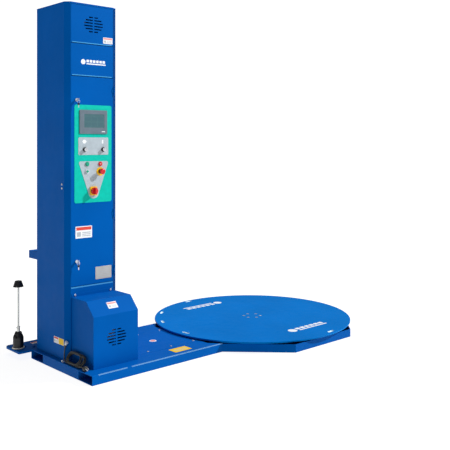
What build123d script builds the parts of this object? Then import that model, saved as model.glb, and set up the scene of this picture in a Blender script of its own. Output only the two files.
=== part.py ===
from build123d import *
import math
import os

os.makedirs("parts", exist_ok=True)

# Turntable pallet wrapper, millimetres, +Z up, floor at z = 0.
# Origin on the floor at the turntable axis.  The mast stands toward -X, its
# control door faces -Y, and the film carriage rides on the +Y side of the mast.

# ---- base -------------------------------------------------------------------
BASE_END_X = -1834.0      # free end of the base, where forks enter
BASE_FRONT_Y = -407.5     # long front edge of the base
BASE_W = 815.0
BASE_TOP = 64.0
POCKET_W = 175.0          # outer width of each fork tube
POCKET_WALL = 5.0
TRAY_APOTHEM = 790.0
TRAY_H = 60.0
TRAY_WALL = 5.0
COVER_T = 5.0
TROUGH_HALF = BASE_W / 2 - POCKET_W

# ---- turntable --------------------------------------------------------------
DISC_R = 825.0
DISC_TOP = 83.0
DISC_T = 12.0
HUB_BOLT_R = 70.0
SCREW_R = 6.0             # countersunk socket screws, flush with the load face
SCREW_HEAD_R = 12.0
SCREW_TOP = DISC_TOP - 0.3
SPROCKET_Z0 = 47.0
SPROCKET_T = 8.0
BIG_SPROCKET_R = 200.0
SMALL_SPROCKET_R = 50.0
CHAIN_T = 7.0
ROLLER_PATH_R = 650.0
ROLLER_R = 24.0
ROLLER_W = 30.0

# ---- mast -------------------------------------------------------------------
MAST_X0 = BASE_END_X + 32.0
MAST_W = 407.0
MAST_X1 = MAST_X0 + MAST_W
MAST_FRONT = BASE_FRONT_Y + 376.0
MAST_D = 416.0
MAST_BACK = MAST_FRONT + MAST_D
MAST_TOP = 2517.0
MAST_CHAMFER = 32.0
HINGE_CORNER_D = 18.0     # depth of the chamfer on the hinge side
MAST_WALL = 3.0
CAP_T = 5.0
SLOT_HALF = 100.0
MAST_CX = (MAST_X0 + MAST_X1) / 2
FLAT_X0 = MAST_X0 + MAST_CHAMFER
FLAT_X1 = MAST_X1 - MAST_CHAMFER
PANEL_GAP = 3.0
DOOR_Z0 = 568.0
DOOR_Z1 = 2010.0
PANEL_SEAM = 2238.0
PAN_DEPTH = 18.0
SHEET = 2.0

# ---- motor cover ------------------------------------------------------------
COVER_X0 = BASE_END_X + 72.0
COVER_X1 = BASE_END_X + 428.0
COVER_Y0 = BASE_FRONT_Y + 102.0
COVER_TOP = 497.0
COVER_CHAMFER = 90.0
FLANGE_TOP = 521.0

# ---- vents: a row pattern that follows an ellipse ---------------------------
VENT_HALF_W = 76.0
VENT_HALF_H = 57.0
VENT_PITCH = 20.0
VENT_SLOT_H = 9.0
VENT_RIB = 12.0

# ---- lift -------------------------------------------------------------------
RAIL_W = 40.0
RAIL_WALL = 5.0
RAIL_Y0 = 335.0
LIFT_R = 40.0
LIFT_Y = 282.0
LIFT_TOP_Z = 2420.0
LIFT_BOTTOM_Z = 125.0
LIFT_TRAVEL = 1700.0

# ---- film carriage, drawn at the bottom of its travel -----------------------
CAR_X0 = BASE_END_X - 94.0
CAR_X1 = BASE_END_X + 700.0
CAR_Y0 = BASE_FRONT_Y + 818.0
CAR_Y1 = BASE_FRONT_Y + 1045.0
CAR_PLATE_TOP = 60.0
CAR_PLATE_H = 15.0
UPPER_X0 = BASE_END_X + 100.0
UPPER_Z0 = 688.0
UPPER_TOP = 745.0
SPINDLE_X = BASE_END_X - 50.0
SPINDLE_Y = BASE_FRONT_Y + 917.0
ROD_R = 7.3
CORE_R = 37.8             # seats inside a 76 mm film core
HUB_FLUTES = 8
STRETCH_R = 48.0
STRETCH_A = (-1640.0, 520.0)
STRETCH_B = (-1530.0, 520.0)
IDLER = (-1645.0, 603.0)
IDLER_R = 19.0

# ---- door controls: x from the base end, z from the floor -------------------
FASCIA = (92.0, 392.0, 1137.0, 1815.0)
HMI = (130.0, 353.0, 1614.0, 1780.0)
DIAL_PLATE = (122.0, 364.0, 1468.0, 1590.0)
KNOB_X = (173.0, 322.0)
KNOB_Z = 1506.0
BUTTON_X = (191.0, 297.0)
BUTTON_Z = 1405.0
LAMP = (191.0, 1354.0)
ESTOP = (297.0, 1352.0)
MAIN_SWITCH = (239.5, 1217.0)
LOCKS = ((109.0, 1847.0), (109.0, 738.0))
FASCIA_T = 1.5
PLATE_T = 1.5
FASCIA_Y = MAST_FRONT - FASCIA_T
PLATE_Y = FASCIA_Y - PLATE_T
HINGE_X = FLAT_X1 + 5.0
HINGE_Y = MAST_FRONT - 3.0
HINGE_R = 4.5
PIN_R = 2.0
HINGE_Z = (650.0, 1050.0, 1920.0)

# ---- power cord -------------------------------------------------------------
CORD_R = 4.0
COIL_TILT = 52.0
COIL_HALF_W = 40.0
COIL_HALF_L = 117.0
COIL_T = 26.0
COIL_HOLE = 22.0

RUN = 0.05                # radial clearance of a pin in its bore
GAP = 0.3                 # gap between parts that slide past each other


def bx(x):
    """x given from the free end of the base."""
    return BASE_END_X + x


def by(y):
    """y given from the long front edge of the base."""
    return BASE_FRONT_Y + y


def block(x0, x1, y0, y1, z0, z1):
    size = Box(x1 - x0, y1 - y0, z1 - z0)
    return Pos((x0 + x1) / 2, (y0 + y1) / 2, (z0 + z1) / 2) * size


def post(x, y, r, z0, z1):
    return Pos(x, y, (z0 + z1) / 2) * Cylinder(r, z1 - z0)


def along_y(x, z, r, y0, y1):
    return Pos(x, (y0 + y1) / 2, z) * Rot(90, 0, 0) * Cylinder(r, y1 - y0)


def along_x(y, z, r, x0, x1):
    return Pos((x0 + x1) / 2, y, z) * Rot(0, 90, 0) * Cylinder(r, x1 - x0)


def octagon(apothem, z0, z1):
    """Upright octagonal prism with flats on the axes."""
    corner = apothem / math.cos(math.pi / 8)
    sketch = Rot(0, 0, 22.5) * RegularPolygon(corner, 8)
    return Pos(0, 0, z0) * extrude(sketch, z1 - z0)


def face_plate(x0, x1, z0, z1, y_front, y_back, radius):
    """Rounded plate standing in the XZ plane."""
    sketch = RectangleRounded(x1 - x0, z1 - z0, radius)
    solid = extrude(Plane.XZ * sketch, y_back - y_front)
    shift = y_back if solid.bounding_box().max.Y < 1e-6 else y_front
    return Pos((x0 + x1) / 2, shift, (z0 + z1) / 2) * solid


def vent_cuts(x_mid, z_mid, y0, y1):
    """Two columns of horizontal slots whose ends follow an ellipse."""
    cuts = []
    for row in range(6):
        dz = (row - 2.5) * VENT_PITCH
        reach = VENT_HALF_W * math.sqrt(1 - (dz / VENT_HALF_H) ** 2)
        for side in (-1, 1):
            xa = x_mid + side * VENT_RIB / 2
            xb = x_mid + side * reach
            lo = min(xa, xb)
            hi = max(xa, xb)
            z0 = z_mid + dz - VENT_SLOT_H / 2
            cuts.append(block(lo, hi, y0, y1, z0, z0 + VENT_SLOT_H))
    return cuts


def fuse(parts):
    first = parts[0]
    for other in parts[1:]:
        first = first + other
    return first


def save(node, *solids):
    """Write one node as separate solids in one STEP file."""
    found = []
    for item in solids:
        found.extend(item.solids())
    shape = found[0] if len(found) == 1 else Compound(children=found)
    export_step(shape, f"parts/{node}.step")


# =============================================================================
# Base: fork tubes, trough for the drive chain, octagonal tray
# =============================================================================
tray_prism = octagon(TRAY_APOTHEM, -1, 100)


def fork_tube(y0):
    outer = block(BASE_END_X, -600, y0, y0 + POCKET_W, 0, BASE_TOP)
    long_edges = outer.edges().filter_by(Axis.X)
    outer = fillet(long_edges, 4.0)
    wall = POCKET_WALL
    inner = block(
        BASE_END_X - 1, -600, y0 + wall, y0 + POCKET_W - wall, wall, BASE_TOP - wall
    )
    return outer - inner - tray_prism


save("fork_pockets", fork_tube(BASE_FRONT_Y), fork_tube(TROUGH_HALF))

trough_end = -TRAY_APOTHEM
foot_end = MAST_X1 + 5
floor_plate = block(BASE_END_X, trough_end, -TROUGH_HALF, TROUGH_HALF, 0, 5)
end_plate = block(BASE_END_X, BASE_END_X + 8, -TROUGH_HALF, TROUGH_HALF, 5, 56)
foot_plate = block(BASE_END_X, foot_end, -TROUGH_HALF, TROUGH_HALF, 56, BASE_TOP)
frame_parts = [floor_plate, end_plate, foot_plate]
for side in (-1, 1):
    inner_edge = side * (TROUGH_HALF - 10)
    outer_edge = side * TROUGH_HALF
    y_lo = min(inner_edge, outer_edge)
    y_hi = max(inner_edge, outer_edge)
    frame_parts.append(block(foot_end, trough_end, y_lo, y_hi, 5, BASE_TOP - COVER_T))
for x_rib in (bx(60), bx(420)):
    frame_parts.append(block(x_rib, x_rib + 8, 60, TROUGH_HALF, 5, 56))
TABLE_MOTOR_X = bx(250)
TABLE_MOTOR_Y = -130.0
base_frame = fuse(frame_parts) - post(TABLE_MOTOR_X, TABLE_MOTOR_Y, 22, 50, 70)
save("base_frame", base_frame)

tray = octagon(TRAY_APOTHEM, 0, TRAY_H)
tray = tray - octagon(TRAY_APOTHEM - TRAY_WALL, 5, TRAY_H + 1)
tray = tray - block(-TRAY_APOTHEM - 1, -TRAY_APOTHEM + 6, -200, 95, 35, TRAY_H + 1)
for angle in (0, 90):
    bar = Rot(0, 0, angle) * block(-700, 700, -20, 20, 5, 17)
    tray = tray + (bar - post(0, 0, 125, 0, 30))
save("turntable_tray", tray)

cover = block(
    foot_end + 1, trough_end - 1, -TROUGH_HALF + 1, TROUGH_HALF - 1,
    BASE_TOP - COVER_T, BASE_TOP,
)
save("chain_cover", cover)


def button_head(x, y, z):
    """Low domed screw head standing on a level face."""
    head = post(x, y, 7.5, z, z + 3.5)
    head = fillet(head.edges().group_by(Axis.Z)[-1], 2.0)
    socket = Pos(x, y, z + 2.5) * extrude(RegularPolygon(2.5, 6), 2)
    return head - socket


def turned_head(x, y, z):
    """The same screw head lying on a face that looks toward -Y."""
    return Pos(x, y, z) * Rot(90, 0, 0) * button_head(0, 0, 0)


def side_head(x, y, z):
    """The same screw head lying on a face that looks toward -X."""
    return Pos(x, y, z) * Rot(0, -90, 0) * button_head(0, 0, 0)


screws = []
for x in (584, 792, 1003):
    for y in (-208, 208):
        screws.append(button_head(bx(x), y, BASE_TOP))
for x in (97, 384):
    screws.append(turned_head(bx(x), MAST_FRONT - SHEET, 509))
for z in (1240, 1268):
    screws.append(side_head(MAST_X0, by(437), z))
save("panel_screws", *screws)

# =============================================================================
# Turntable: bearing housing, hub with sprocket, disc, support rollers
# =============================================================================
housing = post(0, 0, 120, 5, 14) + post(0, 0, 55, 14, 45)
housing = housing - post(0, 0, 30 + RUN, 13, 46)
for i in range(6):
    a = math.radians(30 + 60 * i)
    housing = housing + post(95 * math.cos(a), 95 * math.sin(a), 9, 14, 22)
save("bearing_housing", housing)

hub = post(0, 0, 150, 59, DISC_TOP - DISC_T) + post(0, 0, 75, 54, 60)
hub = hub + post(0, 0, 30, 14, 60)


def toothed_disc(radius, teeth, z0, z1):
    disc = post(0, 0, radius, z0, z1)
    pitch = 2 * math.pi * radius / teeth
    notch = post(radius + pitch * 0.08, 0, pitch * 0.30, z0 - 1, z1 + 1)
    for i in range(teeth):
        disc = disc - Rot(0, 0, 360 * i / teeth) * notch
    return disc


hub = hub + toothed_disc(BIG_SPROCKET_R, 60, SPROCKET_Z0, SPROCKET_Z0 + SPROCKET_T)
save("turntable_hub", hub)

disc = post(0, 0, DISC_R, DISC_TOP - DISC_T, DISC_TOP)
disc = fillet(disc.edges().group_by(Axis.Z)[-1], 3.0)
disc = fillet(disc.edges().group_by(Axis.Z)[0], 1.5)
RIM_HOLES = ((183.7, 770.0), (153.5, 772.0), (129.6, 785.0), (93.5, 790.0), (276.7, 785.0))
for angle, radius in RIM_HOLES:
    slot = Rot(0, 0, 90) * extrude(SlotOverall(72, 22), 10)
    disc = disc - Rot(0, 0, angle) * Pos(radius, 0, DISC_TOP - 5) * slot
for i in range(6):
    a = math.radians(18 + 60 * i)
    x = HUB_BOLT_R * math.cos(a)
    y = HUB_BOLT_R * math.sin(a)
    disc = disc - post(x, y, 6.5, DISC_TOP - DISC_T - 1, DISC_TOP + 1)
    sink_h = SCREW_HEAD_R - SCREW_R
    sink = Cone(SCREW_R + RUN, SCREW_HEAD_R + RUN, sink_h)
    disc = disc - Pos(x, y, SCREW_TOP - sink_h / 2) * sink
    disc = disc - post(x, y, SCREW_HEAD_R + RUN, SCREW_TOP - 0.01, DISC_TOP + 1)
save("turntable_disc", disc)


def hex_bolt(x, y, z, across=19.0, head=8.0, shank=0.0, r=6.0):
    """Hexagon head with a washer, shank going down into the part below."""
    body = post(x, y, across * 0.68, z, z + 1.5)
    hexagon = Pos(x, y, z + 1.5) * extrude(RegularPolygon(across / 1.732, 6), head)
    body = body + hexagon
    if shank > 0:
        body = body + post(x, y, r, z - shank, z)
    return body


def flush_screw(x, y):
    """Countersunk screw with a hexagon socket, its head just under the load face."""
    head_h = SCREW_HEAD_R - SCREW_R
    head = Pos(x, y, SCREW_TOP - head_h / 2) * Cone(SCREW_R, SCREW_HEAD_R, head_h)
    body = head + post(x, y, SCREW_R, DISC_TOP - DISC_T + 0.2, SCREW_TOP - head_h)
    return body - Pos(x, y, SCREW_TOP - 4) * extrude(RegularPolygon(4.6, 6), 5)


bolts = []
for i in range(6):
    a = math.radians(18 + 60 * i)
    x = HUB_BOLT_R * math.cos(a)
    y = HUB_BOLT_R * math.sin(a)
    bolts.append(flush_screw(x, y))
save("hub_bolts", *bolts)

ROLLER_Z = DISC_TOP - DISC_T - GAP - ROLLER_R


def roller_bracket():
    foot = block(-28, 28, -45, 45, 5, 10)
    cheeks = [block(s - 2.5, s + 2.5, -22, 22, 10, ROLLER_Z + 10) for s in (-20, 20)]
    pin = along_x(0, ROLLER_Z, 6, -22.4, 22.4)
    return fuse([foot] + cheeks + [pin])


def support_roller():
    wheel = along_x(0, ROLLER_Z, ROLLER_R, -ROLLER_W / 2, ROLLER_W / 2)
    wheel = chamfer(wheel.edges(), 2.0)
    return wheel - along_x(0, ROLLER_Z, 6 + RUN, -20, 20)


ROLLER_ANGLES = (45, 135, 225, 315)
brackets = []
for i, angle in enumerate(ROLLER_ANGLES):
    brackets.append(Rot(0, 0, angle) * (Pos(ROLLER_PATH_R, 0, 0) * roller_bracket()))
    wheel = Rot(0, 0, angle) * (Pos(ROLLER_PATH_R, 0, 0) * support_roller())
    save(f"support_roller_{i + 1}", wheel)
save("roller_brackets", *brackets)

# =============================================================================
# Turntable drive: gearmotor in the motor cover, chain through the trough
# =============================================================================
gear_case = block(
    TABLE_MOTOR_X - 65, TABLE_MOTOR_X + 65, TABLE_MOTOR_Y - 60, TABLE_MOTOR_Y + 60,
    BASE_TOP, 160,
)
gear_case = fillet(gear_case.edges().filter_by(Axis.Z), 10)
motor = post(TABLE_MOTOR_X, TABLE_MOTOR_Y, 62, 160, 345)
for i in range(8):
    rib_z = 178 + 18 * i
    motor = motor + post(TABLE_MOTOR_X, TABLE_MOTOR_Y, 67, rib_z, rib_z + 5)
motor = motor + post(TABLE_MOTOR_X, TABLE_MOTOR_Y, 55, 345, 375)
terminal = block(
    TABLE_MOTOR_X - 35, TABLE_MOTOR_X + 35, TABLE_MOTOR_Y - 105, TABLE_MOTOR_Y - 50,
    220, 300,
)
gearmotor = gear_case + motor + terminal
gearmotor = gearmotor - post(TABLE_MOTOR_X, TABLE_MOTOR_Y, 12.5 + RUN, 60, 130)
save("table_gearmotor", gearmotor)

small = toothed_disc(SMALL_SPROCKET_R, 15, SPROCKET_Z0, SPROCKET_Z0 + SPROCKET_T)
small = small + post(0, 0, 12.5, 40, 128)
small = small + post(0, 0, 20, 40, SPROCKET_Z0 + 1)
save("table_sprocket", Pos(TABLE_MOTOR_X, TABLE_MOTOR_Y, 0) * small)


def belt_loop(p, rp, q, rq, z0, z1, thickness):
    """Band around two wheels in a level plane."""
    def outline(extra):
        ra = rp + extra
        rb = rq + extra
        hull = make_hull([
            (Pos(p[0], p[1]) * Circle(ra)).edge(),
            (Pos(q[0], q[1]) * Circle(rb)).edge(),
        ])
        return hull
    ring = outline(thickness) - outline(0)
    return Pos(0, 0, z0) * extrude(ring, z1 - z0)


motor_axis = (TABLE_MOTOR_X, TABLE_MOTOR_Y)
chain = belt_loop(
    motor_axis, SMALL_SPROCKET_R + GAP, (0, 0), BIG_SPROCKET_R + GAP,
    SPROCKET_Z0 - 1, SPROCKET_Z0 + SPROCKET_T + 1, CHAIN_T,
)
save("drive_chain", chain)

profile = [
    (COVER_Y0, BASE_TOP), (COVER_Y0, COVER_TOP - COVER_CHAMFER),
    (COVER_Y0 + COVER_CHAMFER, COVER_TOP), (MAST_FRONT, COVER_TOP),
    (MAST_FRONT, BASE_TOP),
]


def cover_prism(points, x0, x1):
    sketch = Plane.YZ * make_face(Polyline(*points, close=True))
    return Pos(x0, 0, 0) * extrude(sketch, x1 - x0)


shell = cover_prism(profile, COVER_X0, COVER_X1)
t = SHEET
inner_profile = [
    (COVER_Y0 + t, BASE_TOP - 5), (COVER_Y0 + t, COVER_TOP - COVER_CHAMFER - 0.4 * t),
    (COVER_Y0 + COVER_CHAMFER + 0.4 * t, COVER_TOP - t), (MAST_FRONT + 5, COVER_TOP - t),
    (MAST_FRONT + 5, BASE_TOP - 5),
]
shell = shell - cover_prism(inner_profile, COVER_X0 + t, COVER_X1 - t)
shell = shell + block(COVER_X0, FLAT_X1 - 2, MAST_FRONT - t, MAST_FRONT, 490, FLANGE_TOP)
for cut in vent_cuts(bx(253), 251, COVER_Y0 - 5, COVER_Y0 + 10):
    shell = shell - cut
save("motor_cover", shell)

# =============================================================================
# Mast: chamfered sheet column, cap, front panels, equipment inside
# =============================================================================


def mast_outline(inset):
    """Column section; the front corners are chamfered, the hinge side less deeply."""
    outline = make_face(Polyline(
        (FLAT_X0, MAST_FRONT), (FLAT_X1, MAST_FRONT), (MAST_X1, MAST_FRONT + HINGE_CORNER_D),
        (MAST_X1, MAST_BACK), (MAST_X0, MAST_BACK), (MAST_X0, MAST_FRONT + MAST_CHAMFER),
        close=True,
    ))
    if inset == 0:
        return outline
    return offset(outline, amount=-inset, kind=Kind.INTERSECTION)


body_top = MAST_TOP - CAP_T
mast = extrude(mast_outline(0) - mast_outline(MAST_WALL), body_top - BASE_TOP)
mast = Pos(0, 0, BASE_TOP) * mast
mast = mast - block(
    FLAT_X0 + 2, FLAT_X1 - 2, MAST_FRONT - 1, MAST_FRONT + MAST_WALL + 1,
    DOOR_Z0 - 3, body_top - 8,
)
mast = mast - block(
    MAST_CX - SLOT_HALF, MAST_CX + SLOT_HALF, MAST_BACK - 10, MAST_BACK + 1, 90, 2480,
)
# welded rails behind the panel seams
rail_y = MAST_FRONT + PAN_DEPTH + 4
for z_rail in (DOOR_Z1 + 3, PANEL_SEAM):
    rail = block(FLAT_X0 - 20, FLAT_X1 + 20, rail_y, rail_y + 3, z_rail - 15, z_rail + 15)
    mast = mast + rail
# fixed hinge knuckles with their pins, standing off the right chamfer
for z_hinge in HINGE_Z:
    for z0 in (z_hinge - 30, z_hinge + 10.3):
        knuckle = post(HINGE_X, HINGE_Y, HINGE_R, z0, z0 + 19.7)
        web = Pos(HINGE_X, HINGE_Y, z0 + 9.85) * Rot(0, 0, 45) * Pos(0, 4, 0) * Box(5, 8, 19.7)
        mast = mast + knuckle + web
    mast = mast + post(HINGE_X, HINGE_Y, PIN_R, z_hinge - 30, z_hinge + 30)
save("mast_shell", mast)

cap = Pos(0, 0, body_top) * extrude(mast_outline(-1.5), CAP_T)
cap = chamfer(cap.edges().group_by(Axis.Z)[-1], 1.5)
save("mast_cap", cap)


def pan(x0, x1, z0, z1):
    """Shallow sheet pan facing -Y with returned edges."""
    solid = block(x0, x1, MAST_FRONT, MAST_FRONT + PAN_DEPTH, z0, z1)
    hollow = block(
        x0 + SHEET, x1 - SHEET, MAST_FRONT + SHEET, MAST_FRONT + PAN_DEPTH + 1,
        z0 + SHEET, z1 - SHEET,
    )
    return solid - hollow


panel_x0 = FLAT_X0 + PANEL_GAP
panel_x1 = FLAT_X1 - PANEL_GAP


def fixed_panel(z0, z1):
    """Fixed front panel: its pan reaches back to the welded rails."""
    solid = block(panel_x0, panel_x1, MAST_FRONT, rail_y, z0, z1)
    hollow = block(
        panel_x0 + SHEET, panel_x1 - SHEET, MAST_FRONT + SHEET, rail_y + 1,
        z0 + SHEET, z1 - SHEET,
    )
    return solid - hollow


vent_panel = fixed_panel(PANEL_SEAM + 2.5, body_top - 10)
for cut in vent_cuts(bx(245), 2376, MAST_FRONT - 5, MAST_FRONT + 5):
    vent_panel = vent_panel - cut
save("vent_panel", vent_panel)
save("upper_panel", fixed_panel(DOOR_Z1 + 5, PANEL_SEAM - 2.5))

# equipment plate with the drive units, controller and terminal row
inner_x0 = MAST_X0 + MAST_WALL
inner_x1 = MAST_X1 - MAST_WALL
equip = block(inner_x0, inner_x1, 118, 121, 620, 1980)
for z0 in (700, 960):
    unit = block(MAST_CX - 110, MAST_CX + 10, 20, 119, z0, z0 + 190)
    for i in range(6):
        fin_z = z0 + 25 + 26 * i
        unit = unit - block(MAST_CX - 120, MAST_CX - 104, 30, 100, fin_z, fin_z + 10)
    equip = equip + unit
equip = equip + block(MAST_CX - 150, MAST_CX + 150, 107, 119, 1225, 1260)
for i in range(11):
    x0 = MAST_CX - 140 + 24 * i
    equip = equip + block(x0, x0 + 20, 62, 108, 1205, 1280)
equip = equip + block(MAST_CX - 140, MAST_CX + 60, 45, 119, 1420, 1540)
equip = equip + block(MAST_CX - 140, MAST_CX - 20, 40, 119, 1680, 1830)
equip = equip + block(MAST_CX + 60, MAST_CX + 130, 60, 119, 700, 1150)
save("equipment_plate", equip)


def guide_rail(side):
    """C-shaped rail inside the mast, open toward the centre line."""
    x_out = MAST_CX + side * 146.5
    x_in = MAST_CX + side * 106.5
    lo = min(x_out, x_in)
    hi = max(x_out, x_in)
    y1 = MAST_BACK - MAST_WALL
    rail = block(lo, hi, RAIL_Y0, y1, 70, 2500)
    cut_lo = lo - 1 if side > 0 else lo + RAIL_WALL
    cut_hi = hi - RAIL_WALL if side > 0 else hi + 1
    return rail - block(cut_lo, cut_hi, RAIL_Y0 + RAIL_WALL, y1 - RAIL_WALL, 60, 2510)


save("guide_rails", guide_rail(-1), guide_rail(1))

# lift gearmotor hung from the left wall, shaft along X
lift_case = block(MAST_CX - 95, MAST_CX - 22, LIFT_Y - 52, LIFT_Y + 48, 2368, 2472)
lift_case = fillet(lift_case.edges().filter_by(Axis.X), 12)
lift_motor = along_y(MAST_CX - 58, LIFT_TOP_Z, 56, 50, LIFT_Y - 50)
for i in range(8):
    rib_y = 64 + 18 * i
    lift_motor = lift_motor + along_y(MAST_CX - 58, LIFT_TOP_Z, 60, rib_y, rib_y + 5)
lift_plate = block(inner_x0, MAST_CX - 94, LIFT_Y - 50, LIFT_Y + 46, 2380, 2390)
lift_web = block(inner_x0, inner_x0 + 8, LIFT_Y - 50, LIFT_Y + 46, 2330, 2470)
lift_unit = lift_case + lift_motor + lift_plate + lift_web
lift_unit = lift_unit - along_x(LIFT_Y, LIFT_TOP_Z, 12 + RUN, MAST_CX - 70, MAST_CX)
save("lift_gearmotor", lift_unit)


def lift_wheel():
    """Sprocket with its axis along X, centred on the mast."""
    wheel = toothed_disc(LIFT_R, 16, -4, 4)
    return Rot(0, 90, 0) * (wheel + post(0, 0, 20, -8, 8))


top_wheel = Pos(MAST_CX, LIFT_Y, LIFT_TOP_Z) * lift_wheel()
top_wheel = top_wheel + along_x(LIFT_Y, LIFT_TOP_Z, 12, MAST_CX - 68, MAST_CX + 8)
save("lift_sprocket_top", top_wheel)
low_wheel = Pos(MAST_CX, LIFT_Y, LIFT_BOTTOM_Z) * lift_wheel()
low_wheel = low_wheel - along_x(LIFT_Y, LIFT_BOTTOM_Z, 9 + RUN, MAST_CX - 30, MAST_CX + 30)
save("lift_sprocket_bottom", low_wheel)

idler = block(MAST_CX - 45, MAST_CX + 45, LIFT_Y - 45, LIFT_Y + 45, BASE_TOP, BASE_TOP + 5)
for s in (-1, 1):
    x_mid = MAST_CX + s * 14
    idler = idler + block(
        x_mid - 4, x_mid + 4, LIFT_Y - 22, LIFT_Y + 22, BASE_TOP + 4, LIFT_BOTTOM_Z + 18,
    )
idler = idler + along_x(LIFT_Y, LIFT_BOTTOM_Z, 9, MAST_CX - 18, MAST_CX + 18)
idler = idler - along_x(LIFT_Y, LIFT_BOTTOM_Z, LIFT_R + CHAIN_T + 2, MAST_CX - 8.5, MAST_CX + 8.5)
idler = idler + along_x(LIFT_Y, LIFT_BOTTOM_Z, 9, MAST_CX - 18, MAST_CX + 18)
save("lift_idler_bracket", idler)


def slot_ring(r, extra, half):
    """Upright loop outline around both lift sprockets, in a plane facing X."""
    span = LIFT_TOP_Z - LIFT_BOTTOM_Z
    loop = extrude(SlotCenterToCenter(span, 2 * (r + extra)), half, both=True)
    upright = Rot(0, 90, 0) * loop
    mid = (LIFT_TOP_Z + LIFT_BOTTOM_Z) / 2
    return Pos(MAST_CX, LIFT_Y, mid) * upright


lift_chain = slot_ring(LIFT_R, GAP + CHAIN_T, 5) - slot_ring(LIFT_R, GAP, 8)
save("lift_chain", lift_chain)

# =============================================================================
# Film carriage
# =============================================================================
TR_X0 = MAST_CX - 92
TR_X1 = MAST_CX + 92
trolley_parts = [block(TR_X0, TR_X1, 352, 364, 120, 690)]
for z0 in (150, 600):
    trolley_parts.append(block(MAST_CX - 50, MAST_CX + 50, 364, CAR_Y0, z0, z0 + 60))
anchor_y = LIFT_Y + LIFT_R + GAP + CHAIN_T + 0.5
trolley_parts.append(block(MAST_CX - 20, MAST_CX + 20, anchor_y, 352, 380, 440))
shoe_y0 = RAIL_Y0 + RAIL_WALL + GAP
shoe_y1 = MAST_BACK - MAST_WALL - RAIL_WALL - GAP
for z0 in (120, 630):
    for side in (-1, 1):
        far = MAST_CX + side * (146.5 - RAIL_WALL - GAP)
        near = MAST_CX + side * 90
        trolley_parts.append(block(min(far, near), max(far, near), shoe_y0, shoe_y1, z0, z0 + 60))
save("carriage_trolley", fuse(trolley_parts))

lower = block(CAR_X0, CAR_X1, CAR_Y0, CAR_Y1, CAR_PLATE_TOP - CAR_PLATE_H, CAR_PLATE_TOP)
uprights = lower.edges().filter_by(Axis.Z)
lower = fillet(uprights.group_by(Axis.X)[0].sort_by(Axis.Y)[-1], 36)
near_edge = lower.edges().filter_by(Axis.Z).group_by(Axis.X)[0].sort_by(Axis.Y)[0]
lower = fillet(near_edge, 8)
under = block(
    CAR_X0 + 4, CAR_X1 - 4, CAR_Y0 + 4, CAR_Y1 - 4, CAR_PLATE_TOP - CAR_PLATE_H - 1,
    CAR_PLATE_TOP - 5,
)
under_edge = under.edges().filter_by(Axis.Z).group_by(Axis.X)[0].sort_by(Axis.Y)[-1]
under = fillet(under_edge, 32)
lower = lower - under
for x, y in (STRETCH_A, STRETCH_B, IDLER):
    lower = lower - post(x, y, 8 + RUN, 50, 62)
for x, y in ((bx(6), by(927)), (bx(55), by(880)), (bx(300), by(840)), (bx(600), by(840))):
    lower = lower + hex_bolt(x, y, CAR_PLATE_TOP, 17.0, 6.0)
save("carriage_lower_plate", lower)

frame = block(UPPER_X0, CAR_X1, CAR_Y0, CAR_Y1, UPPER_Z0, UPPER_TOP)
frame = frame - block(
    UPPER_X0 + 4, CAR_X1 - 4, CAR_Y0 + 4, CAR_Y1 - 4, UPPER_Z0 - 1, UPPER_TOP - 5,
)
frame = frame + block(UPPER_X0, CAR_X1, CAR_Y0, CAR_Y0 + 6, CAR_PLATE_TOP, UPPER_Z0 + 2)
frame = frame + block(CAR_X1 - 6, CAR_X1, CAR_Y0, CAR_Y0 + 110, CAR_PLATE_TOP, UPPER_Z0 + 2)
for x, y in (STRETCH_A, STRETCH_B, IDLER):
    frame = frame - post(x, y, 8 + RUN, 730, 750)
save("carriage_frame", frame)


def roller(x, y, r, z0, z1):
    """Upright roller on a through shaft."""
    barrel = post(x, y, r, z0, z1)
    barrel = chamfer(barrel.edges(), 2.0)
    return barrel + post(x, y, 8, CAR_PLATE_TOP - 4, UPPER_TOP - 1)


save("stretch_roller_a", roller(*STRETCH_A, STRETCH_R, 90, 640))
save("stretch_roller_b", roller(*STRETCH_B, STRETCH_R, 90, 640))
save("idler_roller", roller(*IDLER, IDLER_R, 90, 640))

head_x = bx(560)
head_y = by(930)
stretch_motor = block(head_x - 60, head_x + 60, head_y - 60, head_y + 60, CAR_PLATE_TOP, 160)
stretch_motor = fillet(stretch_motor.edges().filter_by(Axis.Z), 10)
stretch_motor = stretch_motor + post(head_x, head_y, 50, 160, 330)
for i in range(7):
    rib_z = 175 + 18 * i
    stretch_motor = stretch_motor + post(head_x, head_y, 55, rib_z, rib_z + 5)
save("stretch_gearmotor", stretch_motor)

# film spindle: fixed rod with a collar, free-turning core hub and top cone
rod = post(SPINDLE_X, SPINDLE_Y, ROD_R, CAR_PLATE_TOP, 551)
rod = rod + post(SPINDLE_X, SPINDLE_Y, 4.5, 551, 556)
rod = rod + post(SPINDLE_X, SPINDLE_Y, 11.5, 182.5, 205)
rod = rod + along_x(SPINDLE_Y, 213, 3.5, SPINDLE_X - 15, SPINDLE_X + 15)
rod = rod + post(SPINDLE_X, SPINDLE_Y, 9.5, 204, 221)
rod = rod + post(SPINDLE_X, SPINDLE_Y, 20, CAR_PLATE_TOP, CAR_PLATE_TOP + 3)
save("film_spindle_rod", rod)

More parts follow.
